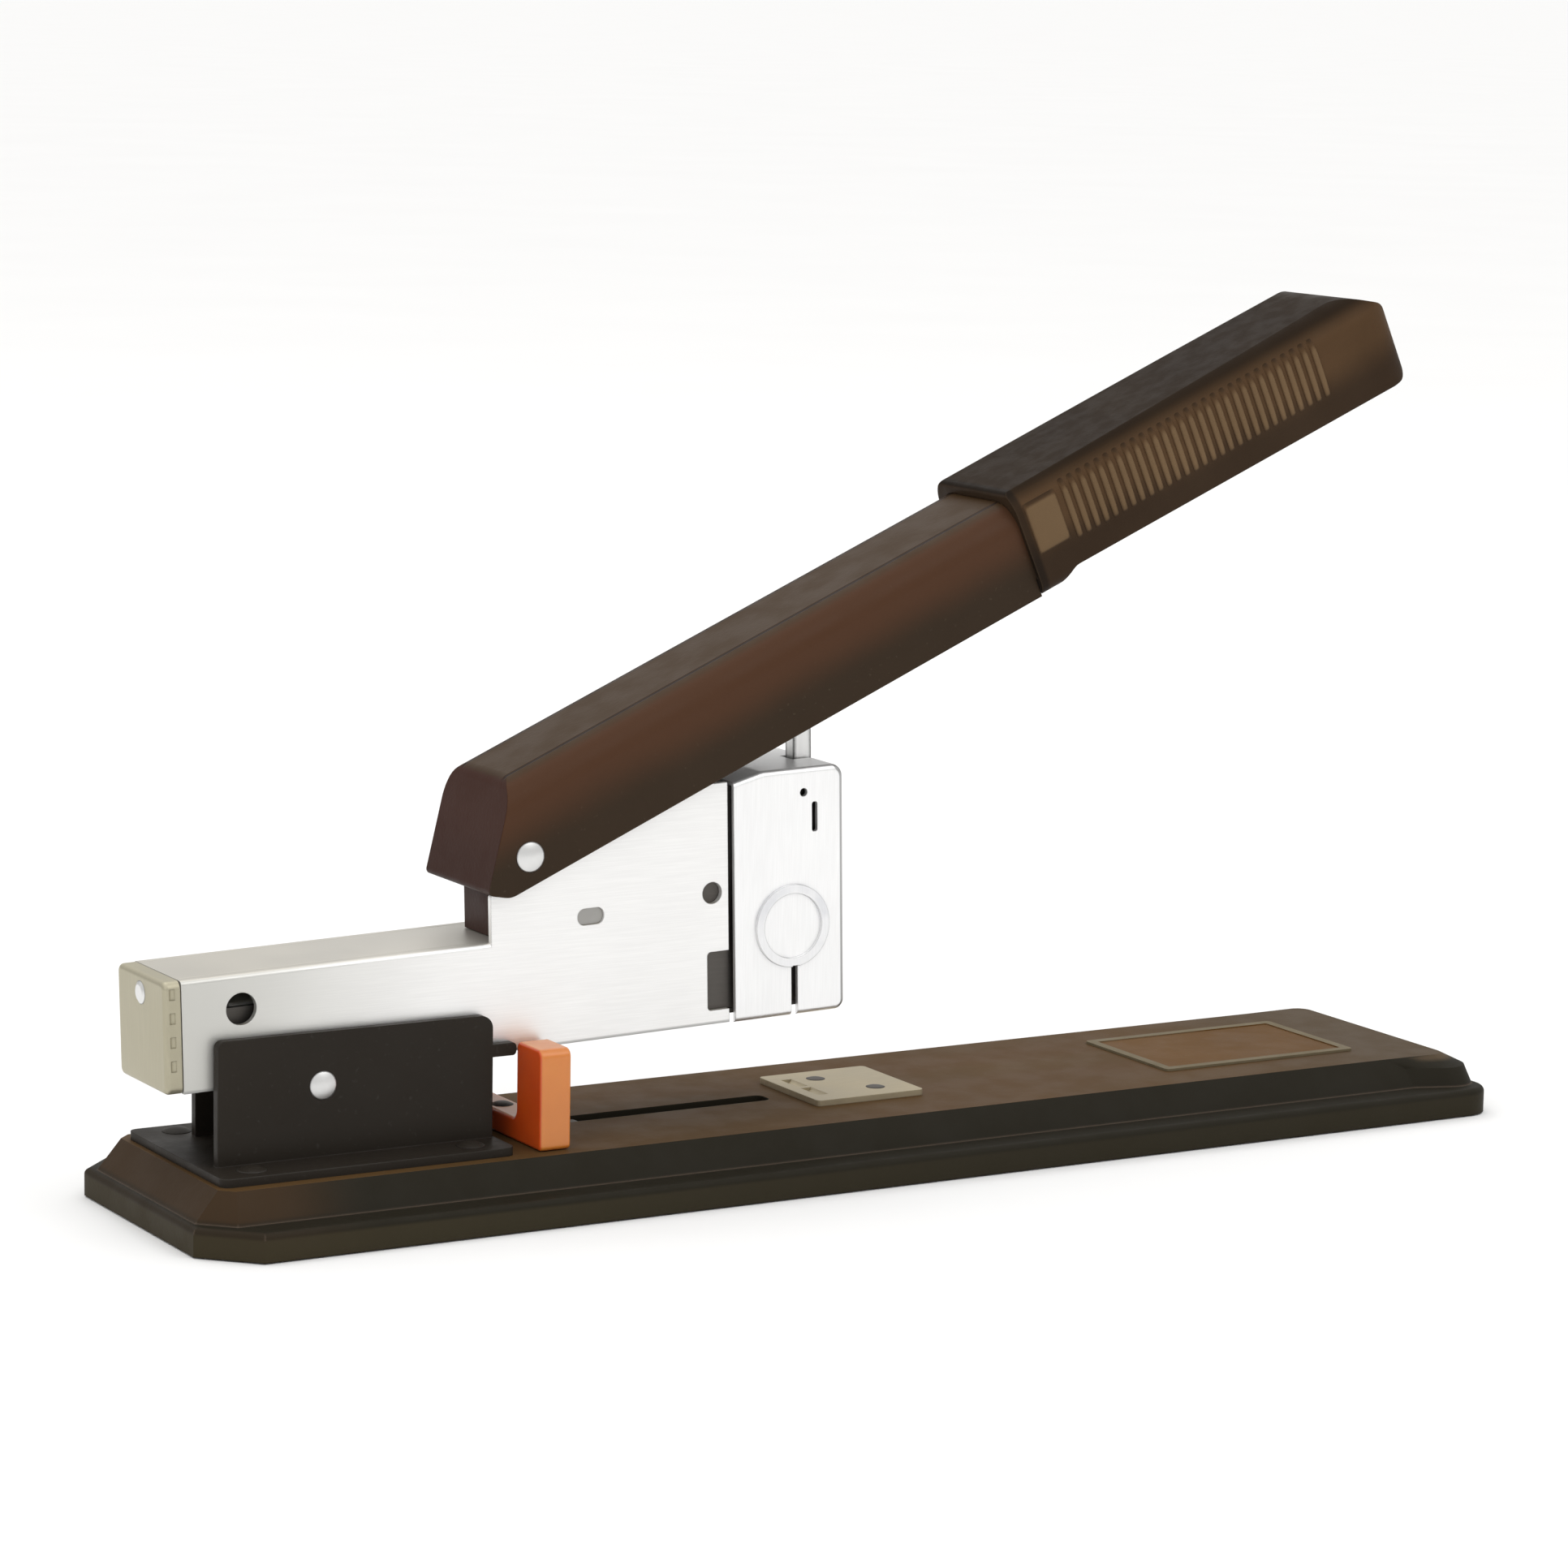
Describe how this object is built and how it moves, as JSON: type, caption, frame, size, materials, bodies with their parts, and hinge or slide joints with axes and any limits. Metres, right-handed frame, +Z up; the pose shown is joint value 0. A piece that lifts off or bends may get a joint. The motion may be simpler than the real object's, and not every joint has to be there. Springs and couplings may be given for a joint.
{
  "type": "heavy-duty desk stapler",
  "caption": "Heavy-duty desk stapler: hinged magazine head over a long tapered base, long lever handle with a ribbed grip, bright nose cover, sliding U-shaped paper stop.",
  "frame": {"origin": "middle of the footprint, on the table under the rubber feet", "axes": "+X towards the mouth where paper goes in, +Y to the left of a user at the hinge end looking along +X, +Z up"},
  "size_m": [0.283, 0.07, 0.1646],
  "materials": {
    "brown_paint": "semi-gloss",
    "black_paint": "semi-gloss",
    "plate_paint": "satin",
    "grip_plastic": "satin with a moulded rib texture",
    "black_plastic": "matte",
    "orange_plastic": "gloss",
    "rubber": "matte",
    "bright_steel": "satin nickel plate",
    "bright_chrome": "bright",
    "plated_steel": "zinc plate",
    "anvil_steel": "satin nickel plate",
    "dark_steel": "blackened",
    "spring_steel": "drawn wire",
    "staple_wire": "galvanised wire"
  },
  "bodies": {
    "base": {"base_tray": "brown_paint", "base_bottom": "black_plastic", "base_screws": "plated_steel", "rubber_feet": "rubber", "anvil_plate": "anvil_steel", "anvil_rivets": "dark_steel", "name_plate": "plate_paint", "pivot_bracket": "black_paint", "bracket_rivets": "black_paint", "head_pivot_pin": "plated_steel", "head_spring": "spring_steel"},
    "stop": {"paper_stop": "orange_plastic", "stop_slide": "dark_steel", "stop_rivet": "dark_steel"},
    "head": {"head_frame": "bright_steel", "tie_bar": "plated_steel", "nose_frame": "dark_steel", "nose_block": "dark_steel", "nose_housing": "bright_chrome", "handle_pin": "plated_steel", "return_spring": "spring_steel", "magazine": "dark_steel", "staple_rail": "bright_steel", "staple_strip": "staple_wire"},
    "loader": {"rear_cap": "bright_steel", "cap_plug": "black_plastic", "guide_rod": "plated_steel", "pusher_spring": "spring_steel"},
    "pusher": {"follower": "black_plastic"},
    "handle": {"handle_channel": "brown_paint", "grip_sleeve": "grip_plastic", "handle_stop": "brown_paint", "press_plate": "dark_steel"},
    "driver": {"plunger": "bright_chrome", "crosshead": "dark_steel", "driver_blade": "dark_steel", "blade_rivets": "plated_steel"}
  },
  "joints": [
    {"name": "head_hinge", "type": "hinge", "parent": "base", "child": "head", "pos_m": [-0.1105, 0, 0.026], "axis": [0, 1, 0], "range_deg": [0, 8.8], "stiffness_Nm_per_rad": 3, "springref_deg": -24.06, "deforming": ["head_spring"]},
    {"name": "handle_hinge", "type": "hinge", "parent": "head", "child": "handle", "pos_m": [-0.06868, 0, 0.06518], "axis": [0, 1, 0], "range_deg": [0, 13], "stiffness_Nm_per_rad": 2, "springref_deg": -20.05, "deforming": ["return_spring"]},
    {"name": "driver_slide", "type": "slide", "parent": "head", "child": "driver", "axis": [0.0279, 0, -0.9996], "range_m": [0, 0.0167]},
    {"name": "loader_slide", "type": "slide", "parent": "head", "child": "loader", "axis": [-0.9996, 0, -0.0279], "range_m": [0, 0.1]},
    {"name": "pusher_travel", "type": "slide", "parent": "loader", "child": "pusher", "axis": [0.9996, 0, 0.0279], "range_m": [-0.026, 0], "stiffness_N_per_m": 30, "springref_m": 0.08, "deforming": ["pusher_spring"]},
    {"name": "stop_travel", "type": "slide", "parent": "base", "child": "stop", "axis": [1, 0, 0], "range_m": [0, 0.04]}
  ],
  "couplings": [
    {"joint": "driver_slide", "follows": "handle_hinge", "m_per_rad": 0.0731}
  ]
}
